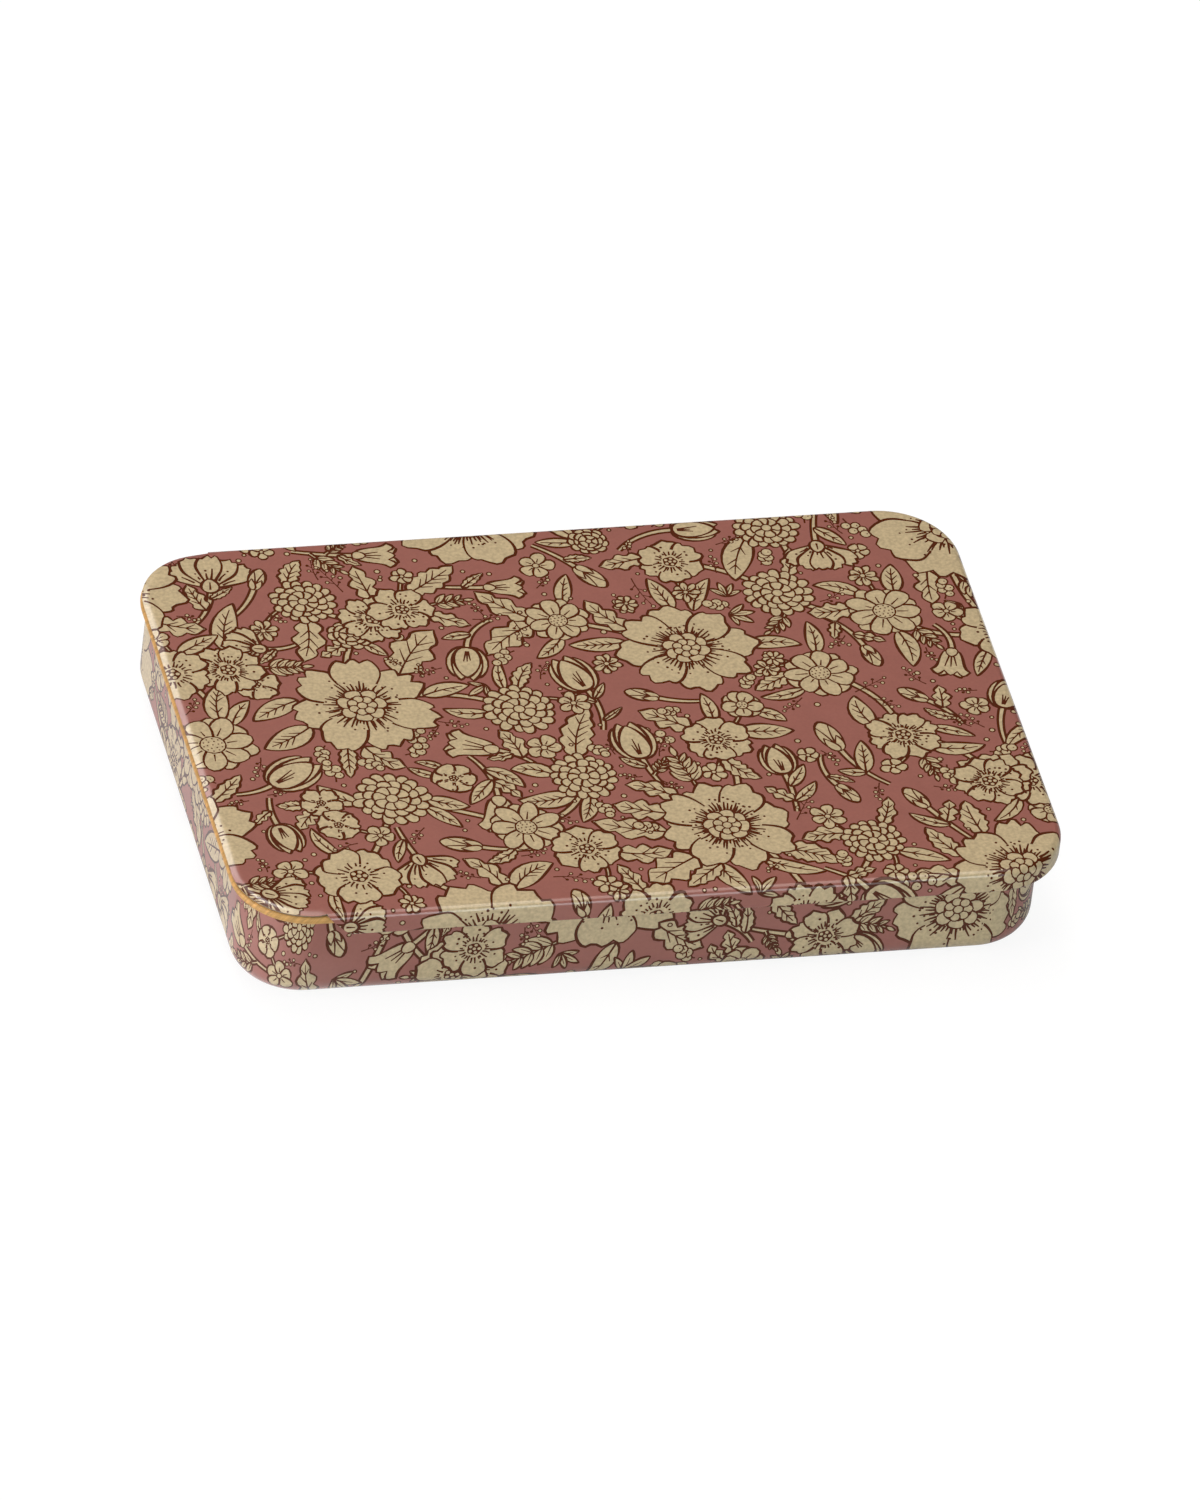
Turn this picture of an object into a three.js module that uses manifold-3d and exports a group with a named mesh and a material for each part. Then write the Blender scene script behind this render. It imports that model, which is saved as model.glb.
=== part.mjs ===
// A flat slide tin in two pieces: a drawn tray with a rolled rim, and a lid that slides off along +X.
// Millimetres, +Z up. The origin lies on the ground, under the middle of the closed tin.
import * as THREE from "three";
import { mergeVertices } from "three/addons/utils/BufferGeometryUtils.js";
import Module from "manifold-3d";

const wasm = await Module();
wasm.setup();

// Closed tin
const tinLength = 110;
const tinWidth = 75.9;
const tinHeight = 14.9;

// Tinplate, the curls rolled from it, and the running clearance between the two pieces
const sheet = 0.28;
const curlRadius = 0.6;
const curlTurn = 1.5 * Math.PI;
const clearance = 0.3;

// Tray
const trayCornerRadius = 8.8;
const trayFootRadius = 3.2;
const standingBand = 3.6;
const panelRise = 0.5;
const panelBendRadius = 0.5;
const panelMargin = 0.3;
const playAtStop = 1.4;

// Lid
const lidCornerRadius = 9.9;
const lidEdgeRadius = 1;
const skirtHeight = 3.35;

// Open end of the lid, where it has no skirt: a plain sheet trimmed to the line of the rim
const plainEndX = -54.8;
const plainEndHalfWidth = 37.1;
const plainEndRadius = 9.5;
const skirtStartTopX = -44.3;
const skirtStartBottomX = -40.7;

// Steps of the round stretches
const cornerSteps = 10;
const bendSteps = 5;
const curlSteps = 12;

// How far cutting tools reach past what they cut
const overshoot = 20;

const rightAngle = Math.PI / 2;
const rimReach = 2 * curlRadius - sheet;

// The middle line of a bent sheet, seen in section. It is laid like a pen stroke that starts
// heading outward: "out" is measured from the outline of the piece, and z is the height.
class SheetLine {
  constructor(out, z) {
    this.heading = 0;
    this.points = [{ out, z, heading: 0 }];
  }

  addStep(distance, turn) {
    const last = this.points[this.points.length - 1];
    const direction = this.heading + turn / 2;
    this.heading += turn;
    this.points.push({
      out: last.out + distance * Math.cos(direction),
      z: last.z + distance * Math.sin(direction),
      heading: this.heading,
    });
    return this;
  }

  forward(distance) {
    return this.addStep(distance, 0);
  }

  // A left turn, from outward to upward, is positive. The radius is the middle line's.
  bend(radius, turn, steps) {
    const chord = 2 * radius * Math.sin(Math.abs(turn) / steps / 2);
    for (let step = 0; step < steps; step += 1) {
      this.addStep(chord, turn / steps);
    }
    return this;
  }

  get end() {
    return this.points[this.points.length - 1];
  }

  // The sheet's face on the left of the line (side 1) or on its right (side -1)
  face(side) {
    const reach = (side * sheet) / 2;
    return this.points.map(({ out, z, heading }) => ({
      out: out - reach * Math.sin(heading),
      z: z + reach * Math.cos(heading),
    }));
  }
}

// The corners of a closed ring at a distance outside a rounded rectangle, anticlockwise from above
function ring(outline, out) {
  const radius = outline.cornerRadius + out;
  const centres = [
    [outline.right - outline.cornerRadius, outline.halfWidth - outline.cornerRadius],
    [outline.left + outline.cornerRadius, outline.halfWidth - outline.cornerRadius],
    [outline.left + outline.cornerRadius, outline.cornerRadius - outline.halfWidth],
    [outline.right - outline.cornerRadius, outline.cornerRadius - outline.halfWidth],
  ];
  return centres.flatMap(([x, y], corner) =>
    Array.from({ length: cornerSteps + 1 }, (unused, step) => {
      const angle = (corner + step / cornerSteps) * rightAngle;
      return [x + radius * Math.cos(angle), y + radius * Math.sin(angle)];
    })
  );
}

// A bent sheet carried all round an outline, and closed across the middle where its line starts
function sheetAround(outline, line) {
  const section = [...line.face(1), ...line.face(-1).reverse()];
  const rings = section.map(({ out, z }) => ring(outline, out).map(([x, y]) => [x, y, z]));
  const perRing = rings[0].length;
  const middleX = (outline.left + outline.right) / 2;
  const positions = rings.flat(2);
  positions.push(middleX, 0, section[0].z);
  positions.push(middleX, 0, section[section.length - 1].z);

  const indices = [];
  const upperMiddle = rings.length * perRing;
  const lowerMiddle = upperMiddle + 1;
  const lastRing = (rings.length - 1) * perRing;
  for (let here = 0; here < perRing; here += 1) {
    const next = (here + 1) % perRing;
    indices.push(upperMiddle, here, next);
    indices.push(lowerMiddle, lastRing + next, lastRing + here);
    for (let start = 0; start < lastRing; start += perRing) {
      const beyond = start + perRing;
      indices.push(start + here, beyond + here, beyond + next);
      indices.push(start + here, beyond + next, start + next);
    }
  }
  const geometry = new THREE.BufferGeometry();
  geometry.setAttribute("position", new THREE.Float32BufferAttribute(positions, 3));
  geometry.setIndex(indices);
  return geometry;
}

function toSolid(geometry) {
  const bare = geometry.clone();
  bare.deleteAttribute("normal");
  bare.deleteAttribute("uv");
  const merged = mergeVertices(bare, 1e-3);
  return new wasm.Manifold(
    new wasm.Mesh({
      numProp: 3,
      vertProperties: new Float32Array(merged.attributes.position.array),
      triVerts: new Uint32Array(merged.index.array),
    })
  );
}

function toGeometry(solid) {
  const mesh = solid.getMesh();
  const geometry = new THREE.BufferGeometry();
  geometry.setAttribute("position", new THREE.Float32BufferAttribute(mesh.vertProperties, 3));
  geometry.setIndex(Array.from(mesh.triVerts));
  geometry.computeVertexNormals();
  return geometry;
}

// Tray: a flat panel raised inside a standing band, the wall, and the rim curled outward
function trayGeometry() {
  const outline = {
    left: -tinLength / 2 + rimReach,
    right: tinLength / 2 - sheet - playAtStop - rimReach,
    halfWidth: tinWidth / 2 - sheet - clearance - rimReach,
    cornerRadius: trayCornerRadius,
  };
  const panelTurn = Math.acos(1 - panelRise / (2 * panelBendRadius));
  const panelBendLength = 2 * panelBendRadius * Math.sin(panelTurn);
  const panelStart = -(trayFootRadius + standingBand + panelBendLength + panelMargin);
  const rimMiddle = tinHeight - sheet - clearance - curlRadius;

  const line = new SheetLine(panelStart, panelRise + sheet / 2);
  line.forward(panelMargin);
  line.bend(panelBendRadius, -panelTurn, bendSteps);
  line.bend(panelBendRadius, panelTurn, bendSteps);
  line.forward(standingBand);
  line.bend(trayFootRadius - sheet / 2, rightAngle, bendSteps);
  line.forward(rimMiddle - line.end.z);
  line.bend(curlRadius - sheet / 2, -curlTurn, curlSteps);
  return toGeometry(toSolid(sheetAround(outline, line)));
}

// What the lid keeps, seen from above: everything right of the skirts' start, and left of it
// only the plain end
function lidPlan() {
  const top = tinWidth / 2 + overshoot;
  const right = tinLength / 2 + overshoot;
  const plan = new THREE.Shape();
  plan.moveTo(right, -top);
  plan.lineTo(right, top);
  plan.lineTo(skirtStartTopX, top);
  plan.lineTo(skirtStartTopX, plainEndHalfWidth);
  const centreX = plainEndX + plainEndRadius;
  const centreY = plainEndHalfWidth - plainEndRadius;
  plan.absarc(centreX, centreY, plainEndRadius, rightAngle, 2 * rightAngle, false);
  plan.absarc(centreX, -centreY, plainEndRadius, 2 * rightAngle, 3 * rightAngle, false);
  plan.lineTo(skirtStartTopX, -plainEndHalfWidth);
  plan.lineTo(skirtStartTopX, -top);
  const depth = tinHeight + 2 * overshoot;
  const prism = new THREE.ExtrudeGeometry(plan, { depth, bevelEnabled: false, curveSegments: cornerSteps });
  return prism.translate(0, 0, -overshoot);
}

// The wedge under the plain end. Its slanted side cuts the front and back skirts' ends.
function skirtEndWedge() {
  const slope = (skirtStartBottomX - skirtStartTopX) / skirtHeight;
  const wedgeTop = tinHeight - lidEdgeRadius;
  const wedgeBottom = tinHeight - skirtHeight - overshoot;
  const slantX = (z) => skirtStartTopX + slope * (tinHeight - z);
  const left = -tinLength / 2 - overshoot;
  const profile = new THREE.Shape();
  profile.moveTo(left, wedgeBottom);
  profile.lineTo(slantX(wedgeBottom), wedgeBottom);
  profile.lineTo(slantX(wedgeTop), wedgeTop);
  profile.lineTo(left, wedgeTop);
  const depth = tinWidth + 2 * overshoot;
  const prism = new THREE.ExtrudeGeometry(profile, { depth, bevelEnabled: false });
  return prism.rotateX(rightAngle).translate(0, depth / 2, 0);
}

// Lid: a flat top, skirts on three sides with a curl that hooks in under the rim, one plain end
function lidGeometry() {
  const outline = {
    left: -tinLength / 2 - overshoot,
    right: tinLength / 2,
    halfWidth: tinWidth / 2,
    cornerRadius: lidCornerRadius,
  };
  const line = new SheetLine(-lidEdgeRadius, tinHeight - sheet / 2);
  line.bend(lidEdgeRadius - sheet / 2, -rightAngle, bendSteps);
  line.forward(skirtHeight - lidEdgeRadius - curlRadius);
  line.bend(curlRadius - sheet / 2, -curlTurn, curlSteps);
  const skirted = toSolid(sheetAround(outline, line));
  const trimmed = skirted.intersect(toSolid(lidPlan()));
  return toGeometry(trimmed.subtract(toSolid(skirtEndWedge())));
}

// Lacquered and printed tinplate: a dusty rose ground under a cream and brown flower print
function printedTinplate() {
  return new THREE.MeshStandardMaterial({ color: 0xa9826b, roughness: 0.35, metalness: 0.15 });
}

function piece(name, geometry) {
  const mesh = new THREE.Mesh(geometry, printedTinplate());
  mesh.name = name;
  return mesh;
}

const slideTin = new THREE.Group();
slideTin.add(piece("base_tray", trayGeometry()));
slideTin.add(piece("slide_lid", lidGeometry()));

export default slideTin;
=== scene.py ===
import math
import random

import bpy
import numpy as np
from mathutils import Matrix, Vector
from mathutils.geometry import delaunay_2d_cdt


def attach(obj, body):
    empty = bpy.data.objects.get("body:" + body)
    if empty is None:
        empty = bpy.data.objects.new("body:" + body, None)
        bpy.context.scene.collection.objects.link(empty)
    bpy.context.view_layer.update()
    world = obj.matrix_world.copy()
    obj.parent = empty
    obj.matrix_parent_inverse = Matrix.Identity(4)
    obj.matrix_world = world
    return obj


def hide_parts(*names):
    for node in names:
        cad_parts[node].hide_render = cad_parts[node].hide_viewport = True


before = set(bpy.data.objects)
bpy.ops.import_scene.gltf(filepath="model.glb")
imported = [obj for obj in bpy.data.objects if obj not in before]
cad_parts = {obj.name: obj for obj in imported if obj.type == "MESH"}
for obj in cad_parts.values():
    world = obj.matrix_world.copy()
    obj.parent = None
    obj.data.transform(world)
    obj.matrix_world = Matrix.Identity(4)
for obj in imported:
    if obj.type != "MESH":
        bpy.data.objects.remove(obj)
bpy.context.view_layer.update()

MM = 0.001
TURN = 2 * math.pi
RIGHT_ANGLE = math.pi / 2

# Closed tin
TIN_LENGTH = 110
TIN_WIDTH = 75.9
TIN_HEIGHT = 14.9

# Tinplate, its curls and the running clearance
SHEET = 0.28
CURL_RADIUS = 0.6
CURL_TURN = 1.5 * math.pi
CLEARANCE = 0.3
RIM_REACH = 2 * CURL_RADIUS - SHEET

# Tray
TRAY_CORNER = 8.8
FOOT_RADIUS = 3.2
STANDING_BAND = 3.6
PANEL_RISE = 0.5
PANEL_BEND = 0.5
PANEL_MARGIN = 0.3
PLAY_AT_STOP = 1.4

# Lid
LID_CORNER = 9.9
LID_EDGE = 1.0
SKIRT_HEIGHT = 3.35
FAR_LEFT = -75
PLAIN_END_X = -54.8
PLAIN_END_HALF_WIDTH = 37.1
PLAIN_END_RADIUS = 9.5
SKIRT_START_TOP_X = -44.3
SKIRT_START_BOTTOM_X = -40.7
DROOP = 0.27
DROOP_WIDTH = 1.2

# Steps of the round stretches
CORNER_STEPS = 16
BEND_STEPS = 8
CURL_STEPS = 12
DROOP_STEPS = 5

# How close points of a flat sheet may lie before they count as one
WELD = 1e-4

# Inks and bare surfaces, in the order of their material slots
GROUND, CREAM, BROWN, GOLD, CUT_EDGE = range(5)

# Print: the usual width of its lines, and the seed and the box of flat sheet for each piece
LINE = 0.36
TRAY_PRINT = (11, complex(-70, -53), complex(69, 53))
LID_PRINT = (3, complex(-60, -46), complex(63, 46))

# Round motifs: smallest and largest radius, the gap they keep, and how often a place is tried
BIG = (8.6, 10.4, 19, 3000)
MIDDLING = (4.3, 5.9, 4.2, 6000)
MODEST = (2.7, 3.8, 1.2, 5000)
SMALL = (1.8, 2.5, 0.3, 150)
TINY = (1.5, 2.2, 0.3, 4000)
DOTS = (0.25, 0.42, 0.5, 2500)

# Narrow motifs: shortest and longest, width by length, gap, and how often a place is tried
SPROUTS = (3.5, 6.5, 0.2, 0.2, 5000)
TWIGS = (2.2, 5.5, 0.1, 0.3, 12000)

# Leaves: the usual length round flowers over a radius, and the gap they keep
LEAF_LENGTHS = ((7, 11), (4, 9.5), (0, 6.5))
LEAF_GAP = 0.25
SPRAY_LEAF_GAP = 0.2
SPRAY_GAP = 0.9

# Flat faces in the map for baking: their share of it, the gap between them, and the edge's strip
MAP_SHARE = 0.97
MAP_GAP = 0.02
MAP_STRIP = (0.98, 0.99)

# Colours as a screen shows them, from 0 to 255
GROUND_COLOUR = (152, 95, 84)
CREAM_COLOUR = (192, 172, 135)
BROWN_COLOUR = (80, 31, 2)
GOLD_COLOUR = (204, 157, 91)
STEEL_COLOUR = (176, 168, 158)

# Floor: how white it is, how much of it the camera sees as glow, and how bright that glow is
FLOOR_HALF = 8
FLOOR_WHITE = 0.86
FLOOR_GLOW_SHARE = 0.84
FLOOR_GLOW = 1.07

# Camera: its direction and distance from the tin's middle, its roll, and how far it is shifted
CAMERA_AZIMUTH = math.radians(-17.21)
CAMERA_ELEVATION = math.radians(38.59)
CAMERA_ROLL = math.radians(7.237)
CAMERA_DISTANCE = 3122.6
CAMERA_RIGHT = 1.527
CAMERA_UP = 6.413
CAMERA_LENS = 576


def cis(angle):
    return complex(math.cos(angle), math.sin(angle))


# Flat outlines


def anticlockwise(shape):
    beyond = np.roll(shape, -1)
    area = float(np.sum(shape.real * beyond.imag - beyond.real * shape.imag))
    return shape if area > 0 else shape[::-1]


def grown(shape, by):
    """An anticlockwise outline moved outward by a distance, or inward by a negative one."""
    along = np.roll(shape, -1) - np.roll(shape, 1)
    return shape - 1j * along / np.maximum(abs(along), 1e-9) * by


def curved(shape, length, bend):
    """Bends what lies along +x from 0 into an arc, so that its far end turns by the bend."""
    if abs(bend) < 1e-3:
        return shape
    radius = length / bend
    angle = shape.real / radius
    from_centre = radius - shape.imag
    return from_centre * np.sin(angle) + 1j * (radius - from_centre * np.cos(angle))


def arc(centre, radius, start, turn, steps):
    angles = start + turn * np.arange(steps + 1) / steps
    return centre + radius * np.exp(1j * angles)


def inside(points, outline):
    """Which points a closed outline winds round: its sides to their right, counted up and down."""
    ends = np.roll(outline, -1)
    rise = ends.imag - outline.imag
    slope = (ends.real - outline.real) / np.where(rise == 0, 1, rise)
    across = points.real[:, None]
    level = points.imag[:, None]
    beside = (outline.imag <= level) != (ends.imag <= level)
    to_right = outline.real + (level - outline.imag) * slope > across
    return (beside & to_right) @ np.sign(rise) != 0


# Bent sheets


class SheetLine:
    """The middle line of a bent sheet in section: how far out, how high, its heading and its run."""

    def __init__(self, out, z):
        self.rows = [(out, z, 0.0, 0.0)]

    def add(self, distance, turn, run):
        out, z, heading, before = self.rows[-1]
        direction = heading + turn / 2
        out += distance * math.cos(direction)
        z += distance * math.sin(direction)
        self.rows.append((out, z, heading + turn, before + run))

    def forward(self, distance):
        self.add(distance, 0, distance)

    def bend(self, radius, turn, steps=BEND_STEPS):
        """A left turn, from outward to upward, is positive. The radius is the middle line's."""
        part = abs(turn) / steps
        for _ in range(steps):
            self.add(2 * radius * math.sin(part / 2), turn / steps, radius * part)

    @property
    def end_z(self):
        return self.rows[-1][1]

    @property
    def end_run(self):
        return self.rows[-1][3]


class BentSheet:
    """A sheet that is flat inside a rounded rectangle and follows a section line outside it."""

    def __init__(self, left, right, half_width, corner, line):
        self.core_low = complex(left + corner, corner - half_width)
        self.core_high = complex(right - corner, half_width - corner)
        self.corner = corner
        self.line = line
        self.flat_radius = corner + line.rows[0][0]

    def fold(self, flat):
        """For points of the flat sheet: the nearest core point, the way outward, and the run."""
        low = self.core_low
        high = self.core_high
        core = np.clip(flat.real, low.real, high.real) + 1j * np.clip(flat.imag, low.imag, high.imag)
        away = flat - core
        reach = abs(away)
        return core, away / np.maximum(reach, 1e-9), reach - self.flat_radius

    def section(self, run):
        """How far out and how high the line is after a run, and its heading."""
        runs = [row[3] for row in self.line.rows]
        return [np.interp(run, runs, [row[column] for row in self.line.rows]) for column in range(3)]

    def place(self, flat, side):
        """Where points of the flat sheet end up on one face, and the face's normals there."""
        core, outward, run = self.fold(flat)
        out, z, heading = self.section(run)
        sideways = outward * -side * np.sin(heading)
        upward = side * np.cos(heading)
        plan = np.where(run < 0, flat, core + outward * (self.corner + out)) + sideways * SHEET / 2
        points = np.column_stack([plan.real, plan.imag, z + upward * SHEET / 2])
        return points, np.column_stack([sideways.real, sideways.imag, upward])

    def ring(self, run):
        """The flat sheet's line at one run, anticlockwise from the right side."""
        radius = self.flat_radius + run
        low = self.core_low
        high = self.core_high
        centres = (high, complex(low.real, high.imag), low, complex(high.real, low.imag))
        quarters = [
            arc(centre, radius, quarter * RIGHT_ANGLE, RIGHT_ANGLE, CORNER_STEPS)
            for quarter, centre in enumerate(centres)
        ]
        return np.concatenate(quarters)

    def guides(self):
        """The closed and the open lines that the mesh of the sheet keeps, so that it bends evenly."""
        rings = [self.ring(row[3]) for row in self.line.rows[:-1]]
        spokes = [np.array(ends) for ends in zip(self.ring(0), self.ring(self.line.end_run))]
        return rings, spokes

    def outline(self):
        return self.ring(self.line.end_run)


class TraySheet(BentSheet):
    """A flat panel raised inside a standing band, the wall, and the rim curled outward."""

    printed_side = -1

    def __init__(self):
        panel_turn = math.acos(1 - PANEL_RISE / (2 * PANEL_BEND))
        panel_bend_length = 2 * PANEL_BEND * math.sin(panel_turn)
        panel_start = FOOT_RADIUS + STANDING_BAND + panel_bend_length + PANEL_MARGIN
        line = SheetLine(-panel_start, PANEL_RISE + SHEET / 2)
        line.forward(PANEL_MARGIN)
        line.bend(PANEL_BEND, -panel_turn)
        line.bend(PANEL_BEND, panel_turn)
        line.forward(STANDING_BAND)
        self.print_start = line.end_run - STANDING_BAND
        line.bend(FOOT_RADIUS - SHEET / 2, RIGHT_ANGLE)
        line.forward(TIN_HEIGHT - SHEET - CLEARANCE - CURL_RADIUS - line.end_z)
        self.print_end = line.end_run
        self.curl_start = line.end_run
        line.bend(CURL_RADIUS - SHEET / 2, -CURL_TURN, CURL_STEPS)
        left = -TIN_LENGTH / 2 + RIM_REACH
        right = TIN_LENGTH / 2 - SHEET - PLAY_AT_STOP - RIM_REACH
        half_width = TIN_WIDTH / 2 - SHEET - CLEARANCE - RIM_REACH
        super().__init__(left, right, half_width, TRAY_CORNER, line)


class LidSheet(BentSheet):
    """A flat top with skirts on three sides that end in a curl, and one plain end."""

    printed_side = 1

    def __init__(self):
        line = SheetLine(-LID_EDGE, TIN_HEIGHT - SHEET / 2)
        line.bend(LID_EDGE - SHEET / 2, -RIGHT_ANGLE)
        line.forward(SKIRT_HEIGHT - LID_EDGE - CURL_RADIUS)
        self.curl_start = line.end_run
        line.bend(CURL_RADIUS - SHEET / 2, -CURL_TURN, CURL_STEPS)
        self.print_start = -LID_CORNER
        self.print_end = line.end_run
        super().__init__(FAR_LEFT, TIN_LENGTH / 2, TIN_WIDTH / 2, LID_CORNER, line)

    def skirt_start(self, side):
        """The slanted cut where a skirt starts, from the top outward. The side is -1 in front."""
        runs = [row[3] for row in self.line.rows]
        first = PLAIN_END_HALF_WIDTH - self.core_high.imag - self.flat_radius
        runs = np.array([first] + [run for run in runs if run > first + WELD])
        depth = TIN_HEIGHT - SHEET / 2 - self.section(runs)[1]
        slope = (SKIRT_START_BOTTOM_X - SKIRT_START_TOP_X) / SKIRT_HEIGHT
        across = SKIRT_START_TOP_X + slope * depth
        return across + 1j * side * (self.core_high.imag + self.flat_radius + runs)

    def plain_end(self, inset):
        """The line of the plain end from back to front, moved inward by an inset."""
        centre = complex(PLAIN_END_X + PLAIN_END_RADIUS, PLAIN_END_HALF_WIDTH - PLAIN_END_RADIUS)
        radius = PLAIN_END_RADIUS - inset
        back = arc(centre, radius, RIGHT_ANGLE, RIGHT_ANGLE, CORNER_STEPS)
        front = arc(centre.conjugate(), radius, 2 * RIGHT_ANGLE, RIGHT_ANGLE, CORNER_STEPS)
        return np.concatenate([back, front])

    def outline(self):
        end = super().outline()
        skirted = end[end.real > SKIRT_START_BOTTOM_X]
        front_half = skirted[skirted.imag < 0]
        back_half = skirted[skirted.imag > 0]
        front = self.skirt_start(-1)
        back = self.skirt_start(1)[::-1]
        return np.concatenate([front, front_half, back_half, back, self.plain_end(0)])

    def guides(self):
        rings, spokes = super().guides()
        insets = DROOP_WIDTH * np.arange(1, DROOP_STEPS + 1) / DROOP_STEPS
        return rings, spokes + [self.plain_end(inset) for inset in insets]

    def place(self, flat, side):
        points, normals = super().place(flat, side)
        core = complex(PLAIN_END_X + PLAIN_END_RADIUS, PLAIN_END_HALF_WIDTH - PLAIN_END_RADIUS)
        inner = np.maximum(flat.real, core.real) + 1j * np.clip(flat.imag, -core.imag, core.imag)
        away = flat - inner
        inward = np.clip((PLAIN_END_RADIUS - abs(away)) / DROOP_WIDTH, 0, 1)
        fade = np.clip((core.real - flat.real) / DROOP_WIDTH + 1, 0, 1)
        points[:, 2] -= DROOP * fade * (1 - inward) ** 2
        slope = 2 * DROOP / DROOP_WIDTH * fade * (1 - inward)
        tilt = side * away / np.maximum(abs(away), 1e-9) * slope
        tilt = np.column_stack([tilt.real, tilt.imag, np.zeros(len(flat))])
        length = np.linalg.norm(normals + tilt, axis=1)[:, None]
        return points + tilt / length * SHEET / 2, (normals + tilt) / length


# Flower print


class Drawing:
    """Flat inked shapes in painter's order: each is an ink and a closed outline."""

    def __init__(self, rng):
        self.rng = rng
        self.shapes = []

    def fill(self, ink, outline):
        self.shapes.append((ink, anticlockwise(outline)))

    def outlined(self, outline, line=LINE):
        """A cream shape in a brown line that swells and thins like a pen's."""
        outline = anticlockwise(outline)
        along = np.arange(len(outline)) * TURN / len(outline)
        swell = 1 + 0.3 * np.sin(self.rng.choice((2, 3)) * along + self.rng.random() * TURN)
        self.fill(BROWN, grown(outline, line / 2 * swell))
        self.fill(CREAM, grown(outline, -line / 2 * swell))

    def ribbon(self, ink, path, start_width, end_width):
        path = np.asarray(path, complex)
        along = np.gradient(path)
        side = 1j * along / abs(along) * np.linspace(start_width, end_width, len(path)) / 2
        self.fill(ink, np.concatenate([path - side, (path + side)[::-1]]))

    def stroke(self, path, width=0.32, tip=0.16):
        self.ribbon(BROWN, path, width, tip)

    def stem(self, path, start_width, end_width):
        self.ribbon(BROWN, path, start_width + LINE, end_width + LINE)
        self.ribbon(CREAM, path, max(start_width - LINE, 0.1), max(end_width - LINE, 0.08))

    def disc(self, ink, centre, radius):
        count = int(6 + 5 * math.sqrt(radius))
        start = self.rng.random()
        self.fill(ink, centre + radius * np.exp(1j * (np.arange(count) + start) * TURN / count))

    def bead(self, centre, radius, line=0.22):
        self.disc(BROWN, centre, radius + line / 2)
        self.disc(CREAM, centre, radius - line / 2)


def placed(centre, angle):
    """Turns and moves what is drawn along +x from 0."""
    return lambda shape: np.asarray(shape) * cis(angle) + centre


def spine(start, stop, length, bend, count):
    """Points between two shares of a length along +x that bends on its way."""
    return curved(np.linspace(start, stop, count) * length + 0j, length, bend)


def spoke(start, stop, angle, bow=0.0):
    """A short straight or bowed line that points away from 0."""
    t = np.linspace(0, 1, 3)
    return (start + (stop - start) * t + 4j * bow * t * (1 - t)) * cis(angle)


def blade(length, width, foot=0.6, tip=1.0, bend=0.0, teeth=0, tooth=0.0):
    """A leaf or pointed petal from 0 along +x. Foot and tip say how slowly it widens at each end."""
    count = int(4 + 2.2 * math.sqrt(2 * length)) + 3 * teeth
    share = (1 - np.cos(np.linspace(0, math.pi, count))) / 2
    half = share ** foot * (1 - share) ** tip
    half *= width / 2 / half.max()
    if teeth:
        half *= 1 - tooth * (1 - abs(np.sin(math.pi * teeth * share)))
    lower = length * share - 1j * half
    return curved(np.concatenate([lower, lower.conj()[-2:0:-1]]), length, bend)


def petal(rng, length, width, lobes=0, lobe=0.0, pinch=0.8):
    """A round petal from 0 along +x, with lobes along its far edge."""
    count = int(5 + 3.2 * math.sqrt(3 * length) + lobes * (3 + length / 2))
    t = np.arange(count) / count
    x = (1 - np.cos(TURN * t)) / 2
    y = np.sin(TURN * t) * (x + 0.03) ** pinch
    y = y / abs(y).max() / 2
    if lobes:
        phase = rng.uniform(-0.2, 0.2)
        x = x + lobe * x ** 2 * (abs(np.cos(math.pi * (lobes * y + phase))) - 0.5)
    wobble = 1 + 0.035 * np.sin(TURN * (3 * t + rng.random()))
    return (length * x + 1j * width * y) * wobble


def petal_marks(art, place, length, spread, count, far=0.58):
    """Short strokes that fan out from a petal's foot, with a dot past some of them."""
    rng = art.rng
    for mark in range(count):
        angle = (mark - (count - 1) / 2) * spread / max(count - 1, 1) + rng.uniform(-0.04, 0.04)
        stop = length * rng.uniform(0.4, far)
        start = length * rng.uniform(0.25, 0.36)
        art.stroke(place(spoke(start, stop, angle, rng.uniform(-0.1, 0.1))), 0.22 + 0.02 * length, 0.2)
        if rng.random() < 0.5:
            art.disc(BROWN, place((stop + rng.uniform(0.5, 0.9)) * cis(angle)), rng.uniform(0.15, 0.22))


def petal_order(count):
    """Every second petal first, so that the others overlap them."""
    return [*range(0, count, 2), *range(1, count, 2)]


def flower_eye(art, centre, radius):
    """A ring of beads round one bead."""
    art.disc(BROWN, centre, radius * 1.06)
    count = 7 if radius > 1.2 else 5
    for bead in range(count):
        art.bead(centre + radius * 0.68 * cis(bead * TURN / count), radius * 0.36, 0.2)
    art.bead(centre, radius * 0.36, 0.2)


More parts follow.
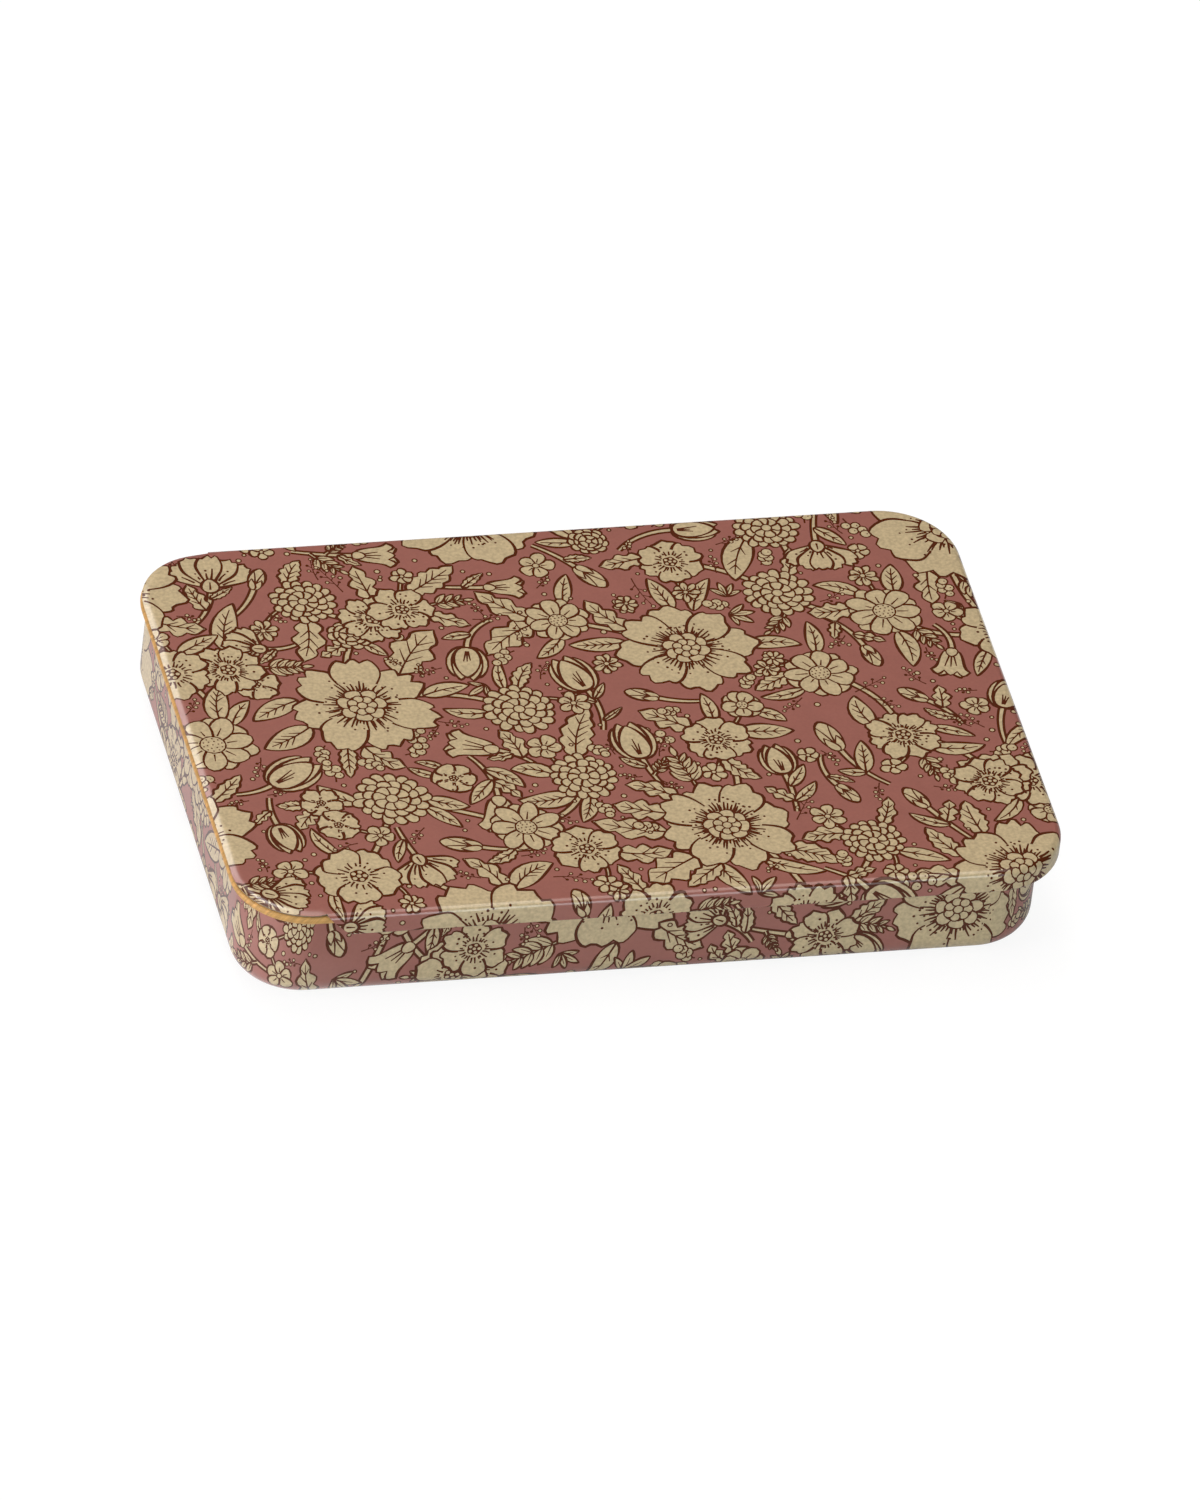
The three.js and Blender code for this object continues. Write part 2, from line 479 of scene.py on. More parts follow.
def open_flower(art, centre, radius, petals, lobes, pinch=0.8):
    """Petals with clefts between them round an eye. Lines part them only next to the clefts."""
    rng = art.rng
    turn = rng.random() * TURN
    width = rng.uniform(0.84, 0.95) * 2 * radius * math.sin(math.pi / petals)
    for number in petal_order(petals):
        place = placed(centre, turn + number * TURN / petals + rng.uniform(-0.05, 0.05))
        long = radius * rng.uniform(0.93, 1.05)
        lobe = rng.uniform(0.1, 0.17)
        art.outlined(place(petal(rng, long, width * rng.uniform(0.92, 1.06), lobes, lobe, pinch)))
    art.disc(CREAM, centre, radius * rng.uniform(0.42, 0.6))
    for number in range(petals):
        place = placed(centre, turn + number * TURN / petals)
        petal_marks(art, place, radius, 0.8 * TURN / petals, 7 if radius > 7 else 4 if radius > 4 else 2)
    if radius > 7:
        for number in range(petals):
            place = placed(centre, turn + (number + 0.5) * TURN / petals)
            art.outlined(place(petal(rng, radius * 0.36, radius * 0.24)), 0.26)
    flower_eye(art, centre, radius * 0.21)


def daisy(art, centre, radius, petals):
    rng = art.rng
    turn = rng.random() * TURN
    width = 2.5 * radius * math.sin(math.pi / petals)
    for number in petal_order(petals):
        place = placed(centre, turn + number * TURN / petals + rng.uniform(-0.04, 0.04))
        art.outlined(place(petal(rng, radius * rng.uniform(0.9, 1.06), width, pinch=0.5)), 0.3)
        stop = radius * rng.uniform(0.5, 0.7)
        art.stroke(place(spoke(radius * 0.34, stop, rng.uniform(-0.05, 0.05))), 0.26, 0.13)
    art.bead(centre, radius * 0.3)
    rows = ((0, 1), (0.13, 6), (0.22, 10)) if radius > 3.4 else ((0, 1), (0.15, 5))
    for reach, count in rows:
        for dot in range(count):
            art.disc(BROWN, centre + reach * radius * cis(dot * TURN / count + reach), 0.13)


def full_flower(art, centre, radius, most):
    """Three rows of narrow petals, each row shorter and with fewer petals than the one under it."""
    rng = art.rng
    for row in range(3):
        reach = radius * (1 - 0.26 * row)
        petals = int(most * (1 - 0.24 * row))
        turn = rng.random() * TURN
        for number in range(petals):
            place = placed(centre, turn + number * TURN / petals + rng.uniform(-0.05, 0.05))
            long = reach * rng.uniform(0.93, 1.05)
            art.outlined(place(blade(long, 0.93 * TURN * reach / petals, 1.3, 0.45)), 0.29)
    art.bead(centre, radius * 0.16)


def small_flower(art, centre, radius, petals):
    rng = art.rng
    turn = rng.random() * TURN
    width = 1.5 * radius * math.sin(math.pi / petals)
    for number in range(petals):
        place = placed(centre, turn + number * TURN / petals + rng.uniform(-0.08, 0.08))
        art.outlined(place(petal(rng, radius * rng.uniform(0.92, 1.15), width, pinch=0.5)), 0.28)
        if radius > 1.8:
            art.stroke(place(spoke(radius * 0.28, radius * 0.62, 0)), 0.22, 0.12)
    art.bead(centre, radius * 0.2, 0.2)


def bell(art, foot, angle, size):
    """A flower head from its foot along its angle: a bell with a scalloped mouth."""
    place = placed(foot, angle)
    for side in (-1, 1):
        art.outlined(place(size * 0.5 + cis(0.5 * side) * blade(size * 0.5, size * 0.3, 0.5, 0.8)))
    t = np.linspace(0, 1, 9)
    edge = size * (0.74 * t + 1j * (0.08 + 0.3 * t ** 0.5 * (1 - 0.3 * t) + 0.13 * t ** 7))
    across = np.linspace(1, -1, 13)[1:-1]
    mouth = size * (0.74 + 0.15 * abs(np.cos(1.5 * math.pi * across)) + 0.42j * across)
    art.outlined(place(np.concatenate([edge.conj(), mouth[::-1], edge[::-1]])))
    for side in (-1, 0, 1):
        art.stroke(place(spoke(size * 0.12, size * art.rng.uniform(0.5, 0.66), 0.22 * side)))
    art.outlined(place(blade(size * 0.3, size * 0.26, 0.4, 0.6) - size * 0.06), 0.24)


def bud(art, foot, angle, size):
    place = placed(foot, angle)
    art.outlined(place(blade(size * 0.8, size * 0.4, 0.6, 0.6)))
    for side in (-1, 1):
        art.stroke(place(spine(0.12, 0.7, size, 0.5 * side, 5)))
        sepal = cis(0.55 * side) * blade(size * 0.4, size * 0.17, 0.5, 1.0, -0.5 * side)
        art.outlined(place(sepal), 0.24)


def tulip(art, foot, angle, size):
    place = placed(foot, angle)
    for reach, lean, width in ((1.0, 0.52, 0.5), (1.08, 0.24, 0.46)):
        for side in (-1, 1):
            outer = blade(size * reach, size * width, 0.5, 0.75, -lean * side)
            art.outlined(place(cis(lean * side) * outer))
    art.outlined(place(blade(size * 0.98, size * 0.56, 0.45, 0.7)))
    for side in (-1, 0, 1):
        art.stroke(place(spoke(size * 0.12, size * art.rng.uniform(0.4, 0.6), 0.16 * side)))


def fan(art, foot, angle, size):
    """Five lobed petals spread from one cup."""
    rng = art.rng
    for step in (-2, 2, -1, 1, 0):
        place = placed(foot, angle + 0.42 * step)
        art.outlined(place(petal(rng, size * rng.uniform(0.92, 1.04), size * 0.5, 3, 0.1, 1.0)))
        petal_marks(art, place, size, 0.25, 2, 0.66)
    place = placed(foot, angle)
    art.outlined(place(blade(size * 0.42, size * 0.34, 0.5, 0.6) - size * 0.1))
    art.stroke(place(spoke(0, size * 0.22, 0)))


# What tells leaves apart: width, number and depth of the teeth, and pairs of veins
LEAF_KINDS = {
    "plain": (1.0, 0, 0.0, 4),
    "toothed": (1.15, 5, 0.3, 4),
    "lobed": (1.4, 3, 0.5, 3),
    "slim": (0.8, 0, 0.0, 2),
}


def leaf(art, foot, angle, length, width, bend, kind):
    widening, teeth, tooth, veins = LEAF_KINDS[kind]
    width *= widening
    veins = min(veins, int(length / 1.9))
    place = placed(foot, angle)
    art.outlined(place(blade(length, width, 0.62, 0.85, bend, teeth, tooth)), 0.26 + 0.01 * length)
    art.stroke(place(spine(0.02, 0.86, length, bend, 6)), 0.32, 0.16)
    for vein in range(veins):
        start = (0.2 + 0.55 * (vein + 0.3) / veins) * length
        reach = width * 0.28 * math.sin(math.pi * min(start / length + 0.1, 0.9))
        for side in (-1, 1):
            if art.rng.random() > 0.12:
                line = start + reach * np.array([0, 0.75 + 0.55j * side, 1.35 + 1j * side])
                art.stroke(place(curved(line, length, bend)), 0.25, 0.12)


def sprout(art, foot, angle, length):
    """Slim leaves that fan out from one foot."""
    rng = art.rng
    leaves = rng.choice((3, 4, 5))
    for number in range(leaves):
        lean = (number - (leaves - 1) / 2) * 1.5 / (leaves - 1)
        size = length * (1 - 0.35 * abs(lean)) * rng.uniform(0.85, 1)
        place = placed(foot, angle + lean)
        art.outlined(place(blade(size, size * 0.32, 0.8, 0.8, 0.6 * lean)), 0.3)
        art.stroke(place(spine(0.1, 0.7, size, 0.6 * lean, 4)), 0.2, 0.1)


def frond(art, foot, angle, length, bend):
    """A stem with pairs of leaflets and one at its tip."""
    pairs = 3 if length < 6.5 else 4
    place = placed(foot, angle)
    art.stem(place(spine(0, 0.9, length, bend, 6)), 0.5, 0.35)
    for pair in range(pairs):
        share = 0.22 + 0.62 * pair / pairs
        size = length * (0.4 - 0.19 * pair / pairs)
        joint = place(spine(share, share, length, bend, 1))[0]
        for side in (-1, 1):
            leaflet = placed(joint, angle + bend * share + 0.85 * side)
            art.outlined(leaflet(blade(size, size * 0.44, 0.7, 0.9, -0.3 * side)), 0.28)
            art.stroke(leaflet(spoke(0.1, size * 0.6, 0)), 0.2, 0.1)
    tip = placed(place(spine(0.84, 0.84, length, bend, 1))[0], angle + bend)
    art.outlined(tip(blade(length * 0.24, length * 0.11, 0.7, 0.9)), 0.24)


def twig(art, foot, angle, length, bend, beads, radius, line):
    """A thin twig that carries beads on both sides and one at its tip."""
    place = placed(foot, angle)
    art.stroke(place(spine(0, 1, length, bend, 7)), line, line / 2)
    for number in range(beads):
        share = 0.28 + 0.72 * number / (beads - 1)
        lean = 0.85 * (1 if number % 2 else -1) if number < beads - 1 else 0
        joint = spine(share, share, length, bend, 1)[0]
        end = joint + length * 0.2 * cis(bend * share + lean)
        art.stroke(place(np.array([joint, (joint + end) / 2, end])), line * 0.8, line * 0.6)
        if radius < 0.3 and number % 3 == 0:
            art.disc(BROWN, place(end), 0.24)
        else:
            art.bead(place(end), radius * art.rng.uniform(0.9, 1.15), min(0.22, 0.65 * radius))
        if radius > 0.5:
            art.disc(BROWN, place(end) + radius * 0.3, 0.11)


# Layout of the print


class Room:
    """Room on the flat sheet. Whatever is put there takes discs, and these keep apart."""

    def __init__(self, rng, low, high):
        self.rng = rng
        self.low = low
        self.high = high
        self.centres = np.zeros(0, complex)
        self.radii = np.zeros(0)

    def spot(self):
        across = self.rng.uniform(self.low.real, self.high.real)
        return complex(across, self.rng.uniform(self.low.imag, self.high.imag))

    def take(self, centres, radii, gap):
        """Takes discs if they keep a gap to all that are taken, and says whether it did."""
        centres = np.atleast_1d(centres)
        radii = np.broadcast_to(radii, centres.shape)
        apart = abs(centres[:, None] - self.centres) - radii[:, None] - self.radii
        if apart.size and apart.min() < gap:
            return False
        self.centres = np.append(self.centres, centres)
        self.radii = np.append(self.radii, radii)
        return True

    def scatter(self, smallest, largest, gap, tries):
        """Round places, each as large as its room allows, up to a random size."""
        found = []
        for _ in range(tries):
            centre = self.spot()
            free = (abs(self.centres - centre) - self.radii).min(initial=math.inf) - gap
            radius = min(self.rng.uniform(smallest, largest), free)
            if radius >= smallest:
                self.take(centre, radius, gap)
                found.append((centre, radius))
        return found


def spray_places(room):
    """Places for flower heads on bent stems of their own."""
    rng = room.rng
    heads = (tulip, fan, bell, bud)
    sprays = []
    for _ in range(4000):
        spot = room.spot()
        angle = rng.random() * TURN
        bend = rng.uniform(-0.9, 0.9)
        length = rng.uniform(4.5, 8)
        size = rng.uniform(5.2, 7.8)
        stem = spine(0.2, 1, length, bend, 5)
        head = stem[-1] + cis(bend) * size * np.array([0.3, 0.7])
        discs = placed(spot, angle)(np.append(stem, head))
        radii = np.append(np.full(len(stem), 0.5), [size * 0.3, size * 0.42])
        if room.take(discs, radii, SPRAY_GAP):
            sprays.append((spot, angle, length, bend, size, rng.choice(heads)))
    return sprays


def leaf_place(room, foot, angle, length, width, bend, gap):
    """Takes room for a leaf, except near its foot."""
    share = np.linspace(0.5, 0.92, 3)
    half = share ** 0.62 * (1 - share) ** 0.85
    discs = placed(foot, angle)(spine(0.5, 0.92, length, bend, 3))
    return room.take(discs, half / half.max() * width / 2, gap)


def leaf_places(room, flowers, sprays):
    """Places for leaves round the flowers and beside the stems of sprays."""
    rng = room.rng
    kinds = ("plain", "plain", "toothed", "lobed", "lobed", "slim", "frond")
    leaves = []
    for centre, radius in flowers:
        usual = next(length for least, length in LEAF_LENGTHS if radius > least)
        for _ in range(140 if radius > 4 else 80):
            around = rng.random() * TURN
            length = usual * rng.uniform(0.6, 1.2)
            width = length * rng.uniform(0.32, 0.5)
            bend = rng.uniform(-0.9, 0.9)
            foot = centre + (radius - 0.8) * cis(around)
            angle = around + rng.uniform(-0.6, 0.6)
            if leaf_place(room, foot, angle, length, width, bend, LEAF_GAP):
                leaves.append((foot, angle, length, width, bend, rng.choice(kinds)))
    for spot, start, stem, stem_bend, _, _ in sprays:
        for _ in range(60):
            share = rng.uniform(0.1, 0.8)
            side = rng.choice((-1, 1))
            foot = placed(spot, start)(spine(share, share, stem, stem_bend, 1))[0]
            length = rng.uniform(3.5, 7.5)
            width = length * rng.uniform(0.32, 0.46)
            bend = -side * rng.uniform(0, 0.8)
            angle = start + stem_bend * share + side * rng.uniform(0.5, 1.0)
            if leaf_place(room, foot, angle, length, width, bend, SPRAY_LEAF_GAP):
                leaves.append((foot, angle, length, width, bend, rng.choice(kinds)))
    return leaves


def filler_places(room, shortest, longest, slimness, gap, tries):
    """Places for narrow things in what room is left: each is a foot, an angle and a length."""
    rng = room.rng
    found = []
    for _ in range(tries):
        spot = room.spot()
        angle = rng.random() * TURN
        length = rng.uniform(shortest, longest)
        if room.take(spot + cis(angle) * np.linspace(0.1, 0.95, 5) * length, length * slimness, gap):
            found.append((spot, angle, length))
    return found


def link(art, centre, radius, flowers):
    """A bowed stem from a flower to the nearest larger one, if that is near enough."""
    larger = [(abs(other - centre), other) for other, size in flowers if size > radius]
    if not larger:
        return
    distance, other = min(larger, key=lambda pair: pair[0])
    if distance < (26 if radius > 3 else 9):
        t = np.linspace(0, 1, 12)
        bow = 4j * art.rng.uniform(-0.22, 0.22) * t * (1 - t)
        width = 0.85 if radius > 3 else 0.5
        art.stem(centre + (other - centre) * (t + bow), width, width)


# Flowers by size: how each kind is drawn, and its numbers of petals and lobes
MODEST_KINDS = ((daisy, (9,)), (open_flower, (5, 2)), (open_flower, (6, 0)), (full_flower, (11,)))
MIDDLING_KINDS = (
    (daisy, (14,)),
    (open_flower, (6, 2)),
    (open_flower, (8, 2)),
    (full_flower, (17,)),
    (open_flower, (5, 3)),
)
BIG_KINDS = ((open_flower, (7, 3)), (open_flower, (8, 2)), (open_flower, (6, 3)))


def flower_print(seed, low, high):
    """A dense print of flowers, buds, leaves and twigs over a box of the flat sheet."""
    rng = random.Random(seed)
    room = Room(rng, low, high)
    big = room.scatter(*BIG)
    middling = room.scatter(*MIDDLING)
    sprays = spray_places(room)
    modest = room.scatter(*MODEST)
    flowers = big + middling + modest
    small = room.scatter(*SMALL)
    leaves = leaf_places(room, flowers, sprays)
    sprouts = filler_places(room, *SPROUTS)
    small += room.scatter(*TINY)
    twigs = filler_places(room, *TWIGS)
    dots = room.scatter(*DOTS)

    art = Drawing(rng)
    for centre, radius in middling + modest + small:
        link(art, centre, radius, flowers)
    for spot, angle, length, bend, _, _ in sprays:
        art.stem(placed(spot, angle)(spine(-0.15, 1, length, bend, 10)), 0.6, 0.85)
    for foot, angle, length, width, bend, kind in leaves:
        if kind == "frond":
            frond(art, foot, angle, length, bend * 0.6)
        else:
            leaf(art, foot, angle, length, width, bend, kind)
    for spot, angle, length in sprouts:
        sprout(art, spot, angle, length)
    for spot, angle, length in twigs:
        if rng.random() < 0.7:
            twig(art, spot, angle, length, rng.uniform(-0.7, 0.7), 6, 0.26, 0.2)
        else:
            twig(art, spot, angle, length, 0.5, 5, 0.68, 0.26)
    for centre, radius in dots:
        art.bead(centre, radius, 0.2)
    for centre, radius in small:
        small_flower(art, centre, radius, rng.choice((5, 6, 8)))
    for spot, angle, length, bend, size, head in sprays:
        head(art, placed(spot, angle)(spine(1, 1, length, bend, 1))[0], angle + bend, size)
    for places, kinds in ((modest, MODEST_KINDS), (middling, MIDDLING_KINDS), (big, BIG_KINDS)):
        for centre, radius in places:
            kind, counts = rng.choice(kinds)
            kind(art, centre, radius, *counts)
    return art.shapes


# Meshes of printed sheets


def visible_shapes(sheet, shapes):
    """The shapes that reach the printed part of a sheet."""
    kept = []
    for ink, shape in shapes:
        run = sheet.fold(shape)[2]
        if run.max() > sheet.print_start and run.min() < sheet.print_end:
            kept.append((ink, shape))
    return kept


def triangulated(points, edges, outline_count):
    """Triangles that keep to the given edges, inside the outline that the first points make."""
    spots = [Vector((point.real, point.imag)) for point in points]
    outline = list(range(outline_count))
    corners, _, faces, _, _, owners = delaunay_2d_cdt(spots, edges, [outline], 0, WELD, True)
    corners = np.array([complex(*corner) for corner in corners])
    faces = np.array([face for face, owner in zip(faces, owners) if owner])
    used, faces = np.unique(faces, return_inverse=True)
    return corners[used], faces.reshape(-1, 3)


def chained(closed, open_lines):
    """All points of the lines one after the other, and the edges between neighbours on a line."""
    edges = []
    count = 0
    for lines, closes in ((closed, True), (open_lines, False)):
        for line in lines:
            here = range(count, count + len(line))
            edges += zip(here, here[1:])
            if closes:
                edges.append((here[-1], here[0]))
            count += len(line)
    return np.concatenate([*closed, *open_lines]), edges


def inks_at(points, shapes):
    """The ink of the last shape over each point."""
    order = np.argsort(points.real)
    across = points.real[order]
    inks = np.full(len(points), GROUND)
    for ink, shape in shapes:
        first, last = np.searchsorted(across, (shape.real.min(), shape.real.max()))
        near = order[first:last]
        level = points.imag[near]
        near = near[(level > shape.imag.min()) & (level < shape.imag.max())]
        inks[near[inside(points[near], shape)]] = ink
    return inks


def sides_of(faces):
    return np.concatenate([faces[:, (0, 1)], faces[:, (1, 2)], faces[:, (2, 0)]])


def ink_borders(faces, inks):
    """The edges between faces of different inks."""
    sides = np.sort(sides_of(faces), axis=1)
    side_inks = np.tile(inks, 3)
    order = np.lexsort((sides[:, 1], sides[:, 0]))
    sides = sides[order]
    side_inks = side_inks[order]
    shared = (sides[1:] == sides[:-1]).all(axis=1)
    return sides[1:][shared & (side_inks[1:] != side_inks[:-1])]


def face_inks(sheet, points, faces, shapes):
    """The ink of each triangle. Outside the printed stretch of the sheet it is the ground."""
    centres = points[faces].mean(axis=1)
    run = sheet.fold(centres)[2]
    printed = (run > sheet.print_start) & (run < sheet.print_end)
    return np.where(printed, inks_at(centres, shapes), GROUND)


def printed_face(sheet, shapes):
    """The printed face of the flat sheet: its points, triangles and inks."""
    outline = sheet.outline()
    closed, open_lines = sheet.guides()
    outlines = [shape for _, shape in shapes]
    points, edges = chained([outline, *closed, *outlines], open_lines)
    points, faces = triangulated(points, edges, len(outline))
    borders = ink_borders(faces, face_inks(sheet, points, faces, shapes))

    # The second time, the outlines that later shapes hide are left out
    kept, ends = np.unique(borders, return_inverse=True)
    bare_points, bare_edges = chained([outline, *closed], open_lines)
    ends = ends.reshape(-1, 2) + len(bare_points)
    points = np.concatenate([bare_points, points[kept]])
    points, faces = triangulated(points, bare_edges + ends.tolist(), len(outline))
    return points, faces, face_inks(sheet, points, faces, shapes)


def rim_loop(points, faces):
    """The points round a patch of triangles in their direction, from the one furthest right."""
    sides = sides_of(faces)
    codes = sides[:, 0] * len(points) + sides[:, 1]
    back = sides[:, 1] * len(points) + sides[:, 0]
    onward = dict(sides[~np.isin(codes, back)].tolist())
    start = max(onward, key=lambda corner: (round(points[corner].real, 3), points[corner].imag))
    loop = [start]
    while onward[loop[-1]] != start and len(loop) < len(onward):
        loop.append(onward[loop[-1]])
    if len(loop) < len(onward) or onward[loop[-1]] != start:
        raise ValueError("the edge of the sheet isn't one loop")
    return np.array(loop)


def sheet_object(name, sheet, shapes, materials):
    """A bent sheet as a closed mesh: the printed face, the gold face and the cut edge between them."""
    printed, faces, inks = printed_face(sheet, shapes)
    loop = rim_loop(printed, faces)
    closed, open_lines = sheet.guides()
    points, edges = chained([printed[loop], *closed], open_lines)
    gold, gold_faces = triangulated(points, edges, len(loop))
    gold_loop = rim_loop(gold, gold_faces)
    if len(loop) != len(gold_loop):
        raise ValueError(f"{name}: the two faces of the sheet don't share their outline")

    top, top_normals = sheet.place(printed, sheet.printed_side)
    bottom, bottom_normals = sheet.place(gold, -sheet.printed_side)
    positions = np.concatenate([top, bottom])
    gold_faces = gold_faces[:, ::-1] + len(printed)
    far = gold_loop + len(printed)
    edge_faces = np.column_stack([np.roll(loop, -1), loop, far, np.roll(far, -1)])
    triangles = np.concatenate([faces, gold_faces])
    if sheet.printed_side < 0:
        triangles = triangles[:, ::-1]
        edge_faces = edge_faces[:, ::-1]

    mesh = bpy.data.meshes.new(name)
    mesh.from_pydata((positions * MM).tolist(), [], triangles.tolist() + edge_faces.tolist())
    slots = np.concatenate([inks, np.full(len(gold_faces), GOLD), np.full(len(edge_faces), CUT_EDGE)])
    mesh.polygons.foreach_set("material_index", slots.astype(np.int32))
    for material in materials:
        mesh.materials.append(material)

    quads = positions[edge_faces]
    edge_normals = np.cross(quads[:, 2] - quads[:, 0], quads[:, 3] - quads[:, 1])
    edge_normals /= np.linalg.norm(edge_normals, axis=1)[:, None]
    normals = np.concatenate([top_normals, bottom_normals])[triangles.ravel()]
    mesh.normals_split_custom_set(np.concatenate([normals, np.repeat(edge_normals, 4, axis=0)]))

    flat = np.concatenate([printed, gold])
    rolled = mesh.attributes.new("rolled", "FLOAT", "POINT")
    rolled.data.foreach_set("value", sheet.fold(flat)[2] - sheet.curl_start)
    bake_layer = mesh.uv_layers.new(name="OFBake")
    bake_layer.data.foreach_set("uv", bake_map(printed, gold, triangles, edge_faces).ravel())

    piece = bpy.data.objects.new(name, mesh)
    bpy.context.scene.collection.objects.link(piece)
    return piece


def bake_map(printed, gold, triangles, edge_faces):
    """Both flat faces one above the other, and the cut edge as a thin strip over them."""
    low = complex(printed.real.min(), printed.imag.min())
    size = complex(printed.real.max(), printed.imag.max()) - low
    scale = MAP_SHARE / max(size.real, (2 + MAP_GAP) * size.imag)
    flat = np.concatenate([printed - low, gold - low + 1j * (1 + MAP_GAP) * size.imag]) * scale
    corners = flat[triangles.ravel()]
    count = len(edge_faces)
    along = (np.arange(count)[:, None] + np.array([1, 0, 0, 1])) / count
    up = np.broadcast_to(np.repeat(MAP_STRIP, 2), (count, 4))
    u = np.concatenate([corners.real, along.ravel()])
    v = np.concatenate([corners.imag, up.ravel()])
    return np.column_stack([u, v])


# Materials


def srgb(red, green, blue):
    """A colour as it is written on a screen, from 0 to 255, as linear light."""
    levels = [level / 255 for level in (red, green, blue)]
    return tuple(v / 12.92 if v <= 0.04045 else ((v + 0.055) / 1.055) ** 2.4 for v in levels)


class Nodes:
    """A material's nodes, with its coordinates in millimetres."""

    def __init__(self, name):
        self.material = bpy.data.materials.new(name)
        self.material.use_nodes = True
        self.tree = self.material.node_tree
        self.shader = self.tree.nodes["Principled BSDF"]

    def new(self, kind, **inputs):
        node = self.tree.nodes.new(kind)
        for name, value in inputs.items():
            self.set(node, name.replace("_", " "), value)
        return node

    def set(self, node, name, value):
        if isinstance(value, bpy.types.NodeSocket):
            self.tree.links.new(value, node.inputs[name])
        else:
            node.inputs[name].default_value = value

    def millimetres(self):
        scale = self.new("ShaderNodeVectorMath")
        scale.operation = "SCALE"
        self.set(scale, 0, self.new("ShaderNodeTexCoord").outputs["Object"])
        self.set(scale, "Scale", 1 / MM)
        return scale.outputs[0]

    def noise(self, vector, per_mm, detail=2.0, roughness=0.5):
        node = self.new("ShaderNodeTexNoise", Vector=vector, Scale=per_mm)
        self.set(node, "Detail", detail)
        self.set(node, "Roughness", roughness)
        return node.outputs["Fac"]

    def spread(self, value, low, high, to_low, to_high):
        node = self.new("ShaderNodeMapRange")
        for name, number in zip(("From Min", "From Max", "To Min", "To Max"), (low, high, to_low, to_high)):
            self.set(node, name, number)
        self.set(node, "Value", value)
        return node.outputs[0]

    def combined(self, operation, first, second):
        node = self.new("ShaderNodeMath")
        node.operation = operation
        self.set(node, 0, first)
        self.set(node, 1, second)
        return node.outputs[0]

    def times(self, first, second):
        return self.combined("MULTIPLY", first, second)

    def shaded(self, colour, level):
        """A colour made lighter or darker by a level."""
        node = self.new("ShaderNodeMix")
        node.data_type = "RGBA"
        node.blend_type = "MULTIPLY"
        node.inputs[0].default_value = 1
        node.inputs[6].default_value = (*colour, 1)
        self.tree.links.new(level, node.inputs[7])
        return node.outputs[2]

    def bump(self, height, distance):
        node = self.new("ShaderNodeBump", Height=height, Distance=distance)
        self.set(self.shader, "Normal", node.outputs[0])


def printed_ink(name, colour, grain, blotch, shine):
    """Ink under satin varnish: a fine mottle and larger soft blotches, each by a share of its level."""
    nodes = Nodes(name)
    where = nodes.millimetres()
    fine = nodes.spread(nodes.noise(where, 2.2, 2.0), 0.3, 0.7, 1 - grain, 1 + grain)
    soft = nodes.spread(nodes.noise(where, 0.35, 3.0), 0.3, 0.7, 1 - blotch, 1 + blotch)
    nodes.set(nodes.shader, "Base Color", nodes.shaded(colour, nodes.times(fine, soft)))
    rough = nodes.spread(nodes.noise(where, 1.6, 2.0), 0.3, 0.7, 0.19, 0.25)
    nodes.set(nodes.shader, "Roughness", rough)
    nodes.set(nodes.shader, "Specular IOR Level", shine)
    nodes.bump(nodes.noise(where, 0.6, 2.0), 0.003 * MM)
    return nodes.material


def gold_lacquer():
    """Clear gold lacquer over tinplate, dull on the rolled rim, where its colour and bump run in fine
    slanted lighter and darker lines.
    """
    nodes = Nodes("gold_lacquer")
    where = nodes.millimetres()
    attribute = nodes.new("ShaderNodeAttribute")
    attribute.attribute_name = "rolled"
    rolled = attribute.outputs["Fac"]
    x, y, _ = nodes.new("ShaderNodeSeparateXYZ", Vector=where).outputs
    along = nodes.times(nodes.combined("SUBTRACT", x, y), 1.7)
    slant = nodes.combined("ADD", nodes.times(rolled, 1.6), along)
    stretched = nodes.new("ShaderNodeCombineXYZ", X=slant, Y=nodes.times(x, 0.22), Z=nodes.times(y, 0.22))
    lines = nodes.noise(stretched.outputs[0], 1.0, 2.0, 0.6)
    grain = nodes.noise(where, 1.8, 3.0)

    def by_place(on_panel, on_rim):
        return nodes.spread(rolled, -0.2, 0.1, on_panel, on_rim)

    panel_level = nodes.spread(grain, 0.3, 0.7, 0.96, 1.04)
    rim_level = nodes.spread(lines, 0.38, 0.62, 0.76, 1.08)
    level = by_place(panel_level, rim_level)
    nodes.set(nodes.shader, "Base Color", nodes.shaded(srgb(*GOLD_COLOUR), level))
    nodes.set(nodes.shader, "Metallic", by_place(0.75, 0.2))
    nodes.set(nodes.shader, "Roughness", by_place(0.34, 0.6))
    nodes.bump(by_place(nodes.noise(where, 0.35, 2.0), lines), 0.01 * MM)
    return nodes.material


def cut_edge():
    """Bare steel where the sheet is cut."""
    nodes = Nodes("cut_edge")
    nodes.set(nodes.shader, "Base Color", (*srgb(*STEEL_COLOUR), 1))
    nodes.set(nodes.shader, "Metallic", 0.9)
    nodes.set(nodes.shader, "Roughness", 0.4)
    return nodes.material


# Studio


